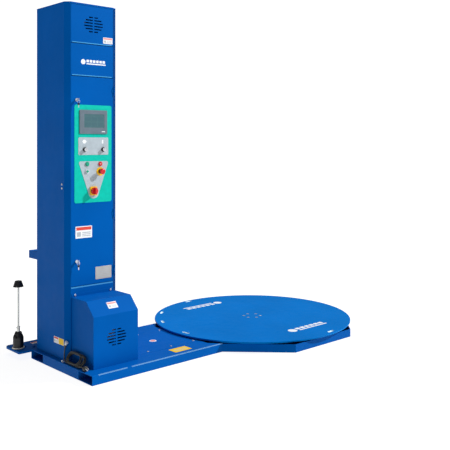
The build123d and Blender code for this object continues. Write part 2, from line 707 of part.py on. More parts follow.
hub_ring = post(SPINDLE_X, SPINDLE_Y, 44, 64, 71)
hub_ring = fillet(hub_ring.edges().group_by(Axis.Z)[-1], 2)
core = Polyline(
    (0, 70), (CORE_R, 70), (CORE_R, 140), (34.5, 153), (28, 166), (23, 181), (0, 181),
    close=True,
)
dome = revolve(Plane.XZ * make_face(core), Axis.Z)
dome = Pos(SPINDLE_X, SPINDLE_Y, 0) * dome
core_hub = hub_ring + dome
for i in range(HUB_FLUTES):
    flute = Rot(0, 0, 360 / HUB_FLUTES * i) * block(27, 45, -5, 5, 143, 190)
    core_hub = core_hub - Pos(SPINDLE_X, SPINDLE_Y, 0) * flute
core_hub = core_hub - post(SPINDLE_X, SPINDLE_Y, ROD_R + RUN, 50, 200)
save("film_core_hub", core_hub)

cone = Pos(SPINDLE_X, SPINDLE_Y, 529) * Cone(CORE_R, 24, 42)
for i in range(HUB_FLUTES):
    flute = Rot(0, 0, 360 / HUB_FLUTES * i) * block(33, 45, -3, 3, 500, 530)
    cone = cone - Pos(SPINDLE_X, SPINDLE_Y, 0) * flute
cone = cone - post(SPINDLE_X, SPINDLE_Y, ROD_R + RUN, 500, 560)
save("film_top_cone", cone)

# =============================================================================
# Control door with its fascia and switches
# =============================================================================
door = pan(panel_x0, panel_x1, DOOR_Z0, DOOR_Z1)
for z_hinge in HINGE_Z:
    leaf = block(panel_x1 - 9, HINGE_X, MAST_FRONT - 2, MAST_FRONT, z_hinge - 10, z_hinge + 10)
    knuckle = post(HINGE_X, HINGE_Y, HINGE_R, z_hinge - 10, z_hinge + 10)
    door = door + leaf + knuckle
    door = door - post(HINGE_X, HINGE_Y, PIN_R + RUN, z_hinge - 31, z_hinge + 31)

fascia = face_plate(
    bx(FASCIA[0]), bx(FASCIA[1]), FASCIA[2], FASCIA[3], FASCIA_Y, MAST_FRONT, 14,
)
dial_plate = face_plate(
    bx(DIAL_PLATE[0]), bx(DIAL_PLATE[1]), DIAL_PLATE[2], DIAL_PLATE[3], PLATE_Y, FASCIA_Y, 9,
)


def switch_plate_shape():
    """Inverted triangle with rounded corners, wide at the top."""
    rounds = ((bx(139), 1412.0, 12.0), (bx(350), 1412.0, 12.0), (bx(244.5), 1205.0, 41.0))
    circles = [(Pos(x, z) * Circle(r)).edge() for x, z, r in rounds]
    outline = make_hull(circles)
    solid = extrude(Plane.XZ * outline, PLATE_T)
    shift = FASCIA_Y if solid.bounding_box().max.Y < 1e-6 else PLATE_Y
    return Pos(0, shift, 0) * solid


switch_plate = switch_plate_shape()

hmi_x0 = bx(HMI[0])
hmi_x1 = bx(HMI[1])
bezel = face_plate(hmi_x0, hmi_x1, HMI[2], HMI[3], FASCIA_Y - 6, FASCIA_Y, 4)
bezel = chamfer(bezel.edges().group_by(Axis.Y)[0], 1.2)
screen = block(bx(166), bx(329), FASCIA_Y - 7, FASCIA_Y - 5, 1658, 1752)
bezel = bezel - screen
hmi_back = block(hmi_x0 + 9, hmi_x1 - 9, FASCIA_Y, 8, HMI[2] + 8, HMI[3] - 8)
save("hmi_panel", bezel + hmi_back)
hmi_hole = block(hmi_x0 + 8.5, hmi_x1 - 8.5, -60, 20, HMI[2] + 7.5, HMI[3] - 7.5)
fascia = fascia - hmi_hole
door = door - hmi_hole

front_x = [bx(x) for x in KNOB_X]
for x in front_x:
    bore = along_y(x, KNOB_Z, 3 + RUN, -60, 0)
    fascia = fascia - bore
    dial_plate = dial_plate - bore
    door = door - bore
for x in BUTTON_X:
    bore = along_y(bx(x), BUTTON_Z, 5 + GAP, -60, 0)
    fascia = fascia - bore
    switch_plate = switch_plate - bore
    door = door - bore
for x, z in LOCKS:
    bore = along_y(bx(x), z, 7 + RUN, -60, 0)
    fascia = fascia - bore
    door = door - bore
# contact blocks and dial bodies on the inner face of the door
inner_face = MAST_FRONT + SHEET
for x in front_x:
    body = along_y(x, KNOB_Z, 13, inner_face, inner_face + 16)
    door = door + (body - along_y(x, KNOB_Z, 3 + GAP, inner_face - 1, inner_face + 6))
for x in BUTTON_X:
    body = block(bx(x) - 15, bx(x) + 15, inner_face, inner_face + 42, BUTTON_Z - 20, BUTTON_Z + 20)
    door = door + (body - along_y(bx(x), BUTTON_Z, 5 + GAP, inner_face - 1, inner_face + 18))
estop_body = block(bx(282), bx(312), inner_face, inner_face + 42, 1332, 1372)
switch_body = block(bx(210), bx(269), inner_face, inner_face + 50, 1187, 1247)
door = door + estop_body + switch_body
save("control_door", door)
save("fascia_panel", fascia)
save("control_plates", dial_plate, switch_plate)

bezels = []
for x, z in ((BUTTON_X[0], BUTTON_Z), (BUTTON_X[1], BUTTON_Z)):
    ring = along_y(bx(x), z, 15.2, PLATE_Y - 5, PLATE_Y)
    bezels.append(ring - along_y(bx(x), z, 11 + GAP, PLATE_Y - 6, PLATE_Y + 1))
lamp = along_y(bx(LAMP[0]), LAMP[1], 14, PLATE_Y - 5, PLATE_Y)
lamp = lamp + along_y(bx(LAMP[0]), LAMP[1], 8, PLATE_Y - 10, PLATE_Y - 4)
bezels.append(lamp)
save("button_bezels", *bezels)

estop_x = bx(ESTOP[0])
yellow_ring = along_y(estop_x, ESTOP[1], 30.5, PLATE_Y - 2, PLATE_Y)
collar = along_y(estop_x, ESTOP[1], 16, PLATE_Y - 12, PLATE_Y)
collar = collar - along_y(estop_x, ESTOP[1], 12 + GAP, PLATE_Y - 13, PLATE_Y - 2)
yellow_ring = yellow_ring + collar
yellow_ring = yellow_ring - along_y(estop_x, ESTOP[1], 12 + GAP, PLATE_Y - 13, PLATE_Y - 1)
main_x = bx(MAIN_SWITCH[0])
main_z = MAIN_SWITCH[1]
main_base = face_plate(main_x - 27, main_x + 27, main_z - 31, main_z + 31, PLATE_Y - 12, PLATE_Y, 8)
main_base = main_base - along_y(main_x, main_z, 4 + RUN, PLATE_Y - 13, PLATE_Y - 2)
save("yellow_bases", yellow_ring, main_base)

for node, x, in (("start_button", BUTTON_X[0]), ("stop_button", BUTTON_X[1])):
    face_y = PLATE_Y - 7
    button = along_y(bx(x), BUTTON_Z, 11, face_y, face_y + 3)
    button = button + along_y(bx(x), BUTTON_Z, 5, face_y + 2, inner_face + 10)
    save(node, button)

head_y0 = PLATE_Y - 40
mushroom = along_y(estop_x, ESTOP[1], 20, head_y0, head_y0 + 13)
mushroom = fillet(mushroom.edges().group_by(Axis.Y)[0], 5)
mushroom = mushroom + along_y(estop_x, ESTOP[1], 12, head_y0 + 12, PLATE_Y - 9.5)
save("estop_button", mushroom)

handle_y = PLATE_Y - 12 - GAP
handle = along_y(main_x, main_z, 25, handle_y - 14, handle_y)
handle = handle + face_plate(
    main_x - 7, main_x + 7, main_z - 24, main_z + 24, handle_y - 32, handle_y - 13, 6,
)
handle = handle + along_y(main_x, main_z, 4, handle_y - 1, PLATE_Y - 3)
save("main_switch_handle", handle)


def knob(x):
    skirt = along_y(x, KNOB_Z, 16, PLATE_Y - 6, PLATE_Y - GAP)
    grip = along_y(x, KNOB_Z, 13.5, PLATE_Y - 19, PLATE_Y - 5)
    for i in range(12):
        a = math.radians(30 * i)
        gx = x + 14.4 * math.cos(a)
        gz = KNOB_Z + 14.4 * math.sin(a)
        grip = grip - along_y(gx, gz, 1.6, PLATE_Y - 16, PLATE_Y - 6)
    shaft = along_y(x, KNOB_Z, 3, PLATE_Y - 5, inner_face + 4)
    pointer = block(x - 0.8, x + 0.8, PLATE_Y - 20, PLATE_Y - 18, KNOB_Z, KNOB_Z + 12)
    return skirt + grip + shaft + pointer


save("knob_left", knob(front_x[0]))
save("knob_right", knob(front_x[1]))


def key_lock(x, z):
    """Cam lock with its key in place and a spare key hanging from the ring."""
    head = along_y(x, z, 11, MAST_FRONT - 5, MAST_FRONT - GAP)
    barrel = along_y(x, z, 7, MAST_FRONT - 2, MAST_FRONT + PAN_DEPTH + 6)
    cam = block(x - 38, x + 8, MAST_FRONT + PAN_DEPTH + 3, MAST_FRONT + PAN_DEPTH + 6, z - 7, z + 7)
    blade = block(x - 1.2, x + 1.2, MAST_FRONT - 14, MAST_FRONT - 4, z - 4, z + 4)
    bow = block(x - 1.2, x + 1.2, MAST_FRONT - 34, MAST_FRONT - 13, z - 11, z + 11)
    bow = bow - along_x(MAST_FRONT - 28, z - 5, 3.0, x - 3, x + 3)
    ring = Pos(x, MAST_FRONT - 28, z - 12.2) * Rot(90, 0, 0) * Torus(9.5, 1.1)
    spare = block(x - 7, x + 7, MAST_FRONT - 29.2, MAST_FRONT - 26.8, z - 36, z - 20.5)
    spare = spare + block(x - 3, x + 3, MAST_FRONT - 29.2, MAST_FRONT - 26.8, z - 54, z - 34)
    return head + barrel + cam + blade + bow + ring + spare


save("key_lock_upper", key_lock(bx(LOCKS[0][0]), LOCKS[0][1]))
save("key_lock_lower", key_lock(bx(LOCKS[1][0]), LOCKS[1][1]))

LABEL_T = 0.8
warning = face_plate(bx(101), bx(232), 895, 977, MAST_FRONT - LABEL_T, MAST_FRONT, 4)
nameplate = face_plate(bx(260), bx(392), 596, 683, MAST_FRONT - LABEL_T, MAST_FRONT, 4)
save("door_labels", warning, nameplate)

vent_label = face_plate(bx(323), bx(401), 2254, 2297, MAST_FRONT - LABEL_T, MAST_FRONT, 3)
side_label = block(MAST_X0 - LABEL_T, MAST_X0, by(412), by(546), 166, 210)
cover_label = Box(75, 50, LABEL_T)
slope = (COVER_Y0 + COVER_CHAMFER * 0.55, COVER_TOP - COVER_CHAMFER * 0.45)
lift_off = LABEL_T / 2 / math.sqrt(2)
cover_label = Pos(bx(250), slope[0] - lift_off, slope[1] + lift_off) * Rot(45, 0, 0) * cover_label
tube_label = block(bx(717), bx(866), by(49), by(134), BASE_TOP, BASE_TOP + LABEL_T)
oval_label = post(bx(780), by(403), 27, BASE_TOP, BASE_TOP + LABEL_T)
save("safety_labels", vent_label, side_label, cover_label, tube_label, oval_label)

# =============================================================================
# Power cord: elbow gland, tube down the mast, coil on the base, plug
# =============================================================================
HANG_FROM = (bx(30), by(384), 178.0)
CORNER = (bx(16), by(403), 70.0)
INTO_COIL = (bx(15), by(296), 74.0)
gland_root = (bx(44), by(396), 191.0)
gland_dir = math.sqrt(0.5)


def stub(p, q, r):
    """Round bar between two points."""
    v = Vector(*q) - Vector(*p)
    plane = Plane(origin=p, z_dir=v)
    return plane * Pos(0, 0, v.length / 2) * Cylinder(r, v.length)


elbow = tuple(gland_root[i] + (-gland_dir * 18 if i < 2 else 0) for i in range(3))
gland = stub(gland_root, elbow, 8.5)
nut_end = tuple(gland_root[i] + (-gland_dir * 7 if i < 2 else 0) for i in range(3))
gland = gland + stub(gland_root, nut_end, 11.5)
gland = gland + Pos(*elbow) * Sphere(8.5)
down = Vector(*CORNER) - Vector(*HANG_FROM)
down = down.normalized()
mouth = Vector(*elbow) + down * 13
gland = gland + stub(elbow, tuple(mouth), 8)
mast_block = Pos(0, 0, 100) * extrude(mast_outline(0), 200)
gland = gland - mast_block
EXIT = tuple(mouth)
clip = block(bx(6), bx(11.5), by(388), by(400), BASE_TOP, BASE_TOP + 14)
clip = clip + block(bx(6), bx(24), by(388), by(400), BASE_TOP, BASE_TOP + 3)


def rounded_path(points):
    """Straight runs joined by tangent arcs."""
    start = Vector(*points[0])
    corner = Vector(*points[1])
    end = Vector(*points[2])
    a = start - corner
    b = end - corner
    turn = math.pi - math.acos(a.dot(b) / a.length / b.length)
    reach = 0.45 * min(a.length, b.length)
    return FilletPolyline(*points, radius=reach / math.tan(turn / 2))


route = rounded_path([EXIT, CORNER, INTO_COIL])
section = Plane(origin=route @ 0, z_dir=route % 0) * Circle(CORD_R)
cord = sweep(section, path=route)

half_t = COIL_T / 2
tilt = math.radians(COIL_TILT)
coil_z = BASE_TOP + COIL_HALF_W * math.sin(tilt) + half_t * math.cos(tilt) + 0.2
coil_x = bx(36)
coil_y = by(266)


def coil_loop(half_w, half_l, half_t):
    flat = SlotCenterToCenter(2 * (half_l - half_w), 2 * half_w)
    return Rot(0, 0, 90) * extrude(flat, half_t, both=True)


coil = coil_loop(COIL_HALF_W, COIL_HALF_L, half_t)
coil = coil - coil_loop(COIL_HOLE, COIL_HALF_L - 12.5, half_t + 1)
coil = Pos(coil_x, coil_y, coil_z) * Rot(0, -COIL_TILT, 0) * coil
save("cord_coil", coil)
cord = cord - coil
gland = gland - stub(tuple(Vector(*EXIT) - down * 20), EXIT, CORD_R + 0.1)
clip = clip - cord
save("power_cord", max(cord.solids(), key=lambda s: s.volume))
save("cable_gland", max(gland.solids(), key=lambda s: s.volume), clip)

PLUG_X = bx(18)
PLUG_Z = BASE_TOP + 17.3
plug = along_y(PLUG_X, PLUG_Z, 17, by(100), by(126))
plug = chamfer(plug.edges().group_by(Axis.Y)[-1], 5)
plug = plug + along_y(PLUG_X, PLUG_Z, 9, by(124), by(144))
for dx, dz in ((-6.3, 3.0), (6.3, 3.0), (0.0, -6.5)):
    plug = plug + along_y(PLUG_X + dx, PLUG_Z + dz, 2.4, by(80), by(101))
save("plug", plug)
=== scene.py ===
"""Looks of the turntable pallet wrapper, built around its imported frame. Metres, +Z up."""
import math

import bpy
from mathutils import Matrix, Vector


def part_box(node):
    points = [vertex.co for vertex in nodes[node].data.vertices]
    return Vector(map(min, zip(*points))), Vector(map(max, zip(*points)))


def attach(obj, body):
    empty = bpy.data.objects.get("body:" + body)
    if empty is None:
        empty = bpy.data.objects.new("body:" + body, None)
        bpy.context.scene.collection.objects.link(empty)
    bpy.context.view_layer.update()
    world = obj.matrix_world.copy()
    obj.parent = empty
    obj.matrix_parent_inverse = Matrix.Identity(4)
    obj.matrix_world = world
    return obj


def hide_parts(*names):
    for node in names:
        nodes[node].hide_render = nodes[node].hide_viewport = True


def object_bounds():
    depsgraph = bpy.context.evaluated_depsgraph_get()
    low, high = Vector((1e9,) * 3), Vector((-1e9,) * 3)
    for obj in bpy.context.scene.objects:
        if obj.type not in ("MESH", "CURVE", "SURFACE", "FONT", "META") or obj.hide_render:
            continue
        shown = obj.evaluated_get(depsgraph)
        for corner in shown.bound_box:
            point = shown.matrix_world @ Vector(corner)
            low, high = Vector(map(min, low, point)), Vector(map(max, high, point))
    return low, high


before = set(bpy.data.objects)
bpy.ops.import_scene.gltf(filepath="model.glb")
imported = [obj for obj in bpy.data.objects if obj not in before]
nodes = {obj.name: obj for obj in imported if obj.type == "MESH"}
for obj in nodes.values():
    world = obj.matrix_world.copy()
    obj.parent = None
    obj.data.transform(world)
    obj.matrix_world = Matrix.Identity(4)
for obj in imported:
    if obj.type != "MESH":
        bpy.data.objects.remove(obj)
cad_low, cad_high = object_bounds()

# ---- places, all taken from the frame -----------------------------------------
MM = 0.001
BASE_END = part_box("fork_pockets")[0].x
BASE_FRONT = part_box("fork_pockets")[0].y
BASE_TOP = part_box("base_frame")[1].z
DISC_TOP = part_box("turntable_disc")[1].z
DOOR_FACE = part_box("upper_panel")[0].y
FASCIA_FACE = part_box("fascia_panel")[0].y
PLATE_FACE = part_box("control_plates")[0].y
MAST_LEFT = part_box("mast_shell")[0].x
INLAY = 0.00015           # how far printed areas stand off what carries them

X_AXIS = Vector((1, 0, 0))
Y_AXIS = Vector((0, 1, 0))
Z_AXIS = Vector((0, 0, 1))


def at_x(mm):
    """x of a place measured from the free end of the base."""
    return BASE_END + mm * MM


def at_y(mm):
    """y of a place measured from the long front edge of the base."""
    return BASE_FRONT + mm * MM


# =============================================================================
# Camera and light
# =============================================================================
camera_data = bpy.data.cameras.new("camera")
camera_data.sensor_width = 36.0
camera_data.lens = 57.2
camera_data.shift_y = -0.1796
camera = bpy.data.objects.new("camera", camera_data)
camera.location = (-4.2936, -4.3306, 1.5428)
camera.rotation_euler = (math.radians(90), 0, math.radians(-42.59))
bpy.context.scene.collection.objects.link(camera)
bpy.context.scene.camera = camera
bpy.context.scene.view_settings.view_transform = "Standard"


middle = (cad_low + cad_high) / 2


def lamp(name, kind, energy, source, **settings):
    """A light at source that looks at the middle of the object."""
    data = bpy.data.lights.new(name, kind)
    data.energy = energy
    for key, value in settings.items():
        setattr(data, key, value)
    light = bpy.data.objects.new(name, data)
    light.location = source
    light.rotation_euler = (source - middle).to_track_quat("Z", "Y").to_euler()
    bpy.context.scene.collection.objects.link(light)


lamp("key_sun", "SUN", 3.75, middle + Vector((7.0, -4.2, 5.8)), angle=math.radians(3))
lamp("overhead", "AREA", 130, middle + Vector((0, 0, 4.2)), shape="SQUARE", size=5.0)

# white world, much dimmer as a light than as the backdrop that the camera sees
WHITE = (1, 1, 1, 1)
WORLD_LIGHT = 0.16
WORLD_BACKDROP = 1.1
world = bpy.data.worlds.new("studio")
world.use_nodes = True
bpy.context.scene.world = world
sky = world.node_tree
sky.nodes.clear()
sky_out = sky.nodes.new("ShaderNodeOutputWorld")
sky_mix = sky.nodes.new("ShaderNodeMixShader")
sky_light = sky.nodes.new("ShaderNodeBackground")
sky_light.inputs["Color"].default_value = WHITE
sky_light.inputs["Strength"].default_value = WORLD_LIGHT
sky_white = sky.nodes.new("ShaderNodeBackground")
sky_white.inputs["Color"].default_value = WHITE
sky_white.inputs["Strength"].default_value = WORLD_BACKDROP
path = sky.nodes.new("ShaderNodeLightPath")
sky.links.new(path.outputs["Is Camera Ray"], sky_mix.inputs[0])
sky.links.new(sky_light.outputs[0], sky_mix.inputs[1])
sky.links.new(sky_white.outputs[0], sky_mix.inputs[2])
sky.links.new(sky_mix.outputs[0], sky_out.inputs["Surface"])


# =============================================================================
# Materials
# =============================================================================
def srgb(r, g, b):
    """Linear colour of an 8-bit display colour."""
    def linear(c):
        c = c / 255
        return c / 12.92 if c <= 0.04045 else ((c + 0.055) / 1.055) ** 2.4
    return (linear(r), linear(g), linear(b), 1.0)


class Shader:
    """Small helper to wire one node material."""

    def __init__(self, name):
        self.material = bpy.data.materials.new(name)
        self.material.use_nodes = True
        self.tree = self.material.node_tree
        self.surface = self.tree.nodes["Principled BSDF"]
        self.place = self.tree.nodes.new("ShaderNodeTexCoord").outputs["Object"]

    def node(self, kind, **values):
        made = self.tree.nodes.new(kind)
        for key, value in values.items():
            setattr(made, key, value)
        return made

    def link(self, a, b):
        self.tree.links.new(a, b)

    def feed(self, socket, value):
        self.link(value, self.surface.inputs[socket])

    def noise(self, scale, detail=3.0, rough=0.5, stretch=None):
        made = self.node("ShaderNodeTexNoise")
        made.inputs["Scale"].default_value = scale
        made.inputs["Detail"].default_value = detail
        made.inputs["Roughness"].default_value = rough
        source = self.place
        if stretch is not None:
            mapping = self.node("ShaderNodeMapping")
            mapping.inputs["Scale"].default_value = stretch
            self.link(source, mapping.inputs["Vector"])
            source = mapping.outputs["Vector"]
        self.link(source, made.inputs["Vector"])
        return made.outputs["Fac"]

    def span(self, value, low, high, to_low, to_high):
        made = self.node("ShaderNodeMapRange")
        for key, number in (
            ("From Min", low), ("From Max", high), ("To Min", to_low), ("To Max", to_high),
        ):
            made.inputs[key].default_value = number
        self.link(value, made.inputs["Value"])
        return made.outputs["Result"]

    def blend(self, factor, a, b):
        made = self.node("ShaderNodeMix", data_type="RGBA")
        self.link(factor, made.inputs[0])
        for socket, colour in ((made.inputs[6], a), (made.inputs[7], b)):
            if isinstance(colour, tuple):
                socket.default_value = colour
            else:
                self.link(colour, socket)
        return made.outputs[2]

    def times(self, a, b):
        made = self.node("ShaderNodeMath", operation="MULTIPLY")
        self.link(a, made.inputs[0])
        self.link(b, made.inputs[1])
        return made.outputs[0]

    def relief(self, height, strength, distance, bevel=None):
        bump = self.node("ShaderNodeBump")
        bump.inputs["Strength"].default_value = strength
        bump.inputs["Distance"].default_value = distance
        self.link(height, bump.inputs["Height"])
        if bevel is not None:
            self.link(bevel, bump.inputs["Normal"])
        self.link(bump.outputs["Normal"], self.surface.inputs["Normal"])

    def rounded(self, radius):
        made = self.node("ShaderNodeBevel", samples=4)
        made.inputs["Radius"].default_value = radius
        return made.outputs["Normal"]

    def edges(self, rounded):
        """1 on the rounded edges and 0 on the flats."""
        flat = self.node("ShaderNodeNewGeometry").outputs["Normal"]
        dot = self.node("ShaderNodeVectorMath", operation="DOT_PRODUCT")
        self.link(rounded, dot.inputs[0])
        self.link(flat, dot.inputs[1])
        return self.span(dot.outputs["Value"], 0.995, 0.90, 0.0, 1.0)

    def put(self, **values):
        names = {
            "metal": "Metallic", "rough": "Roughness", "shine": "Specular IOR Level",
            "coat": "Coat Weight", "coat_rough": "Coat Roughness",
        }
        for key, value in values.items():
            self.surface.inputs[names[key]].default_value = value


def shade(colour, factor):
    return tuple(min(1.0, c * factor) for c in colour[:3]) + (1.0,)


def painted(name, colour, rough=0.38, edge=1.5, radius=0.0016, sheen=0.12):
    """Powder-coated sheet: faint clouding, orange peel, paler worn edges, dusty patches."""
    s = Shader(name)
    s.put(shine=sheen, coat=0.0)
    s.surface.inputs["Specular Tint"].default_value = shade(colour, 1.6)
    cloud = s.span(s.noise(2.6, 4), 0.3, 0.7, 0.0, 1.0)
    body = s.blend(cloud, shade(colour, 0.94), shade(colour, 1.06))
    rounded = s.rounded(radius)
    wear = s.times(s.edges(rounded), s.span(s.noise(38, 5, 0.65), 0.3, 0.62, 0.25, 0.9))
    s.feed("Base Color", s.blend(wear, body, shade(colour, edge)))
    s.feed("Roughness", s.span(s.noise(17, 7, 0.7), 0.35, 0.7, rough - 0.05, rough + 0.09))
    s.relief(s.noise(520, 2), 0.22, 0.00008, rounded)
    return s.material


def brushed(name, colour, rough=0.34, stretch=(1, 1, 40), stain=0.82, metal=1.0):
    """Bare steel or aluminium with drawn grain and a little staining."""
    s = Shader(name)
    s.put(metal=metal)
    grain = s.noise(70, 5, 0.6, stretch)
    cloud = s.span(s.noise(9, 5, 0.6), 0.3, 0.7, 0.0, 1.0)
    s.feed("Base Color", s.blend(cloud, shade(colour, stain), colour))
    s.feed("Roughness", s.span(grain, 0.25, 0.75, rough - 0.09, rough + 0.12))
    s.relief(grain, 0.12, 0.00005, s.rounded(0.0006))
    return s.material


def moulded(name, colour, rough=0.4, grain=900, depth=0.00005, shine=0.45, coat=0.0):
    """Moulded plastic or rubber with a fine spark-eroded grain."""
    s = Shader(name)
    s.put(shine=shine, coat=coat, coat_rough=0.1)
    cloud = s.span(s.noise(30, 3), 0.3, 0.7, 0.0, 1.0)
    s.feed("Base Color", s.blend(cloud, shade(colour, 0.92), shade(colour, 1.05)))
    s.feed("Roughness", s.span(s.noise(60, 5), 0.3, 0.7, rough - 0.05, rough + 0.07))
    s.relief(s.noise(grain, 2), 0.3, depth, s.rounded(0.0007))
    return s.material


def printed(name, colour, rough=0.45):
    """Ink or label film: nearly even, with slight mottling."""
    s = Shader(name)
    s.put(shine=0.35)
    mottle = s.span(s.noise(140, 4, 0.6), 0.3, 0.7, 0.0, 1.0)
    s.feed("Base Color", s.blend(mottle, shade(colour, 0.94), shade(colour, 1.03)))
    s.feed("Roughness", s.span(s.noise(45, 3), 0.3, 0.7, rough - 0.05, rough + 0.08))
    return s.material


BLUE = painted("blue_paint", srgb(0, 87, 169), rough=0.5, sheen=0.06)
TABLE_BLUE = painted("table_paint", srgb(0, 108, 188), rough=0.52, sheen=0.07, radius=0.0012)
GREY_PAINT = painted("grey_paint", srgb(126, 132, 138), edge=1.25, sheen=0.3)
PANEL_GREY = painted("panel_grey", srgb(196, 198, 199), edge=1.1, sheen=0.3)
STEEL = brushed("zinc_steel", srgb(212, 216, 222), metal=0.6)
SHAFT = brushed("ground_shaft", srgb(214, 216, 212), 0.26, (40, 40, 1))
DARK_STEEL = brushed("oiled_chain", srgb(96, 92, 88), 0.42, stain=0.6)
CHROME = brushed("polished_nickel", srgb(234, 238, 244), 0.2, metal=0.55)
ALUMINIUM = brushed("label_aluminium", srgb(196, 194, 192), 0.4, (60, 1, 1))
# painted highlight for the lower edges of the panels and the door sill
HIGHLIGHT_BLUE = painted("painted_edge_highlight", srgb(74, 158, 214), rough=0.4)
# painted highlight for the rounded front edge of the base
EDGE_SHINE = painted("edge_shine", srgb(112, 164, 216), rough=0.35)
# painted shade for the right front chamfer strip of the mast
PAINTED_SHADE_BLUE = painted("shaded_strip_paint", srgb(0, 52, 108), rough=0.5, sheen=0.06)
BLACK = moulded("black_plastic", srgb(24, 25, 28), 0.38)
RUBBER = moulded("roller_rubber", srgb(32, 32, 34), 0.62, 320, 0.00012, 0.3)
CORD_BLACK = moulded("cord_rubber", srgb(56, 56, 52), 0.42, 700, 0.00005, 0.5)
NYLON = moulded("wheel_nylon", srgb(224, 220, 204), 0.45)
WHITE_NYLON = moulded("white_nylon", srgb(226, 230, 234), 0.36)
TEAL = moulded("teal_laminate", srgb(0, 191, 171), 0.55, 1100, 0.00002, 0.1)
PALE = moulded("pale_laminate", srgb(175, 187, 195), 0.5, 1100, 0.00002, 0.2)
BEZEL = moulded("hmi_bezel", srgb(102, 117, 129), 0.46, shine=0.25)
SCREEN = moulded("hmi_glass", srgb(78, 114, 120), 0.12, 1200, 0.00001, 0.5, 0.4)
SCREEN_DARK = printed("hmi_tile", srgb(73, 108, 116), 0.2)
POCKET = moulded("pocket_face", srgb(226, 246, 252), 0.4)
LIGHT_RING = moulded("light_ring", srgb(206, 216, 220), 0.35)
YELLOW = moulded("signal_yellow", srgb(246, 192, 24), 0.32, coat=0.2)
RED = moulded("signal_red", srgb(206, 18, 26), 0.28, coat=0.35)
GREEN = moulded("signal_green", srgb(0, 158, 126), 0.3, coat=0.3)
WHITE_INK = printed("white_print", srgb(236, 240, 244))
RED_INK = printed("red_print", srgb(222, 70, 58))
PINK_INK = printed("pale_red_print", srgb(236, 150, 146))
GREY_INK = printed("grey_print", srgb(176, 182, 190))
YELLOW_INK = printed("yellow_print", srgb(240, 196, 20))
LABEL = printed("label_film", srgb(238, 241, 245))
DUCT = moulded("duct_grey", srgb(150, 156, 162), 0.5)
TERMINAL = moulded("terminal_beige", srgb(190, 182, 150), 0.5)


# =============================================================================
# Mesh helpers
# =============================================================================
def new_piece(name, points, faces, material, body, smooth=False):
    mesh = bpy.data.meshes.new(name)
    mesh.from_pydata([tuple(p) for p in points], [], faces)
    mesh.validate()
    mesh.update()
    mesh.materials.append(material)
    if smooth:
        mesh.polygons.foreach_set("use_smooth", [True] * len(mesh.polygons))
    piece = bpy.data.objects.new(name, mesh)
    bpy.context.scene.collection.objects.link(piece)
    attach(piece, body)
    return piece


def rect(u0, u1, v0, v1, radius=0.0, steps=4):
    """Corner points of a rectangle in millimetres, rounded if radius is given."""
    if radius <= 0:
        return [(u0, v0), (u1, v0), (u1, v1), (u0, v1)]
    points = []
    corners = ((u1, v0, -90), (u1, v1, 0), (u0, v1, 90), (u0, v0, 180))
    for u, v, start in corners:
        cu = u - radius if u == u1 else u + radius
        cv = v - radius if v == v1 else v + radius
        for i in range(steps + 1):
            a = math.radians(start + 90 * i / steps)
            points.append((cu + radius * math.cos(a), cv + radius * math.sin(a)))
    return points


def circle(u, v, r, steps=28):
    ring = []
    for i in range(steps):
        a = 2 * math.pi * i / steps
        ring.append((u + r * math.cos(a), v + r * math.sin(a)))
    return ring


def inlay(name, outlines, origin, u, v, material, body, height=INLAY):
    """Thin raised print: closed outlines in millimetres, drawn in the plane of u and v."""
    points = []
    faces = []
    up = u.cross(v).normalized() * height
    for outline in outlines:
        first = len(points)
        count = len(outline)
        flat = [origin + u * (a * MM) + v * (b * MM) for a, b in outline]
        points += flat
        points += [p + up for p in flat]
        faces.append(tuple(range(first + count, first + 2 * count)))
        faces.append(tuple(reversed(range(first, first + count))))
        for i in range(count):
            j = (i + 1) % count
            faces.append((first + i, first + j, first + count + j, first + count + i))
    return new_piece(name, points, faces, material, body)


def lathe(name, profile, origin, axis, material, body, steps=48):
    """Surface of revolution. profile lists (radius, height) in millimetres along axis."""
    side = axis.orthogonal().normalized()
    other = axis.cross(side).normalized()
    points = []
    for r, h in profile:
        for i in range(steps):
            a = 2 * math.pi * i / steps
            out = side * math.cos(a) + other * math.sin(a)
            points.append(origin + axis * (h * MM) + out * (r * MM))
    faces = []
    for row in range(len(profile) - 1):
        for i in range(steps):
            j = (i + 1) % steps
            lo = row * steps
            hi = lo + steps
            faces.append((lo + i, lo + j, hi + j, hi + i))
    faces.append(tuple(reversed(range(steps))))
    last = (len(profile) - 1) * steps
    faces.append(tuple(range(last, last + steps)))
    piece = new_piece(name, points, faces, material, body, smooth=True)
    split = piece.modifiers.new("crisp", "EDGE_SPLIT")
    split.split_angle = math.radians(35)
    return piece


def dress(node, material, *rules):
    """Give a CAD node its material, and other materials to the faces that a rule picks."""
    mesh = nodes[node].data
    mesh.materials.clear()
    mesh.materials.append(material)
    for polygon in mesh.polygons:
        polygon.material_index = 0
    for other, picks in rules:
        mesh.materials.append(other)
        index = len(mesh.materials) - 1
        for polygon in mesh.polygons:
            if picks(polygon.center, polygon.normal):
                polygon.material_index = index


# =============================================================================
# Power cord: drop from the gland, loose coil against the motor cover, plug
# =============================================================================
CORD_D = 0.008
EXIT = Vector((-1.80437, -0.02199, 0.17830))
CORNER = Vector((-1.8180, -0.0045, 0.0700))
INTO_COIL = Vector((-1.8190, -0.1115, 0.0740))
COIL_Y = 266              # middle of the coil, from the front edge of the base
COIL_TURNS = (
    # end radius, near end, far end; low side x and z; tilt in degrees
    (35.0, -108, 104, 16, 73.0, 64), (35.5, -80, 96, 20, 72.5, 46), (35.0, -98, 106, 28, 73.0, 57),
    (35.5, -60, 99, 13, 80.5, 60), (35.0, -90, 92, 22, 81.0, 57), (35.0, -36, 88, 25, 76.0, 52),
    (35.5, -72, 84, 19, 79.5, 62),
)
PLUG_BACK = Vector((-1.8160, -0.2635, 0.0813))
TAIL = ((19, 264, 79.5), (19, 229, 80.0), (18, 194, 81.0))  # from the last turn to the plug


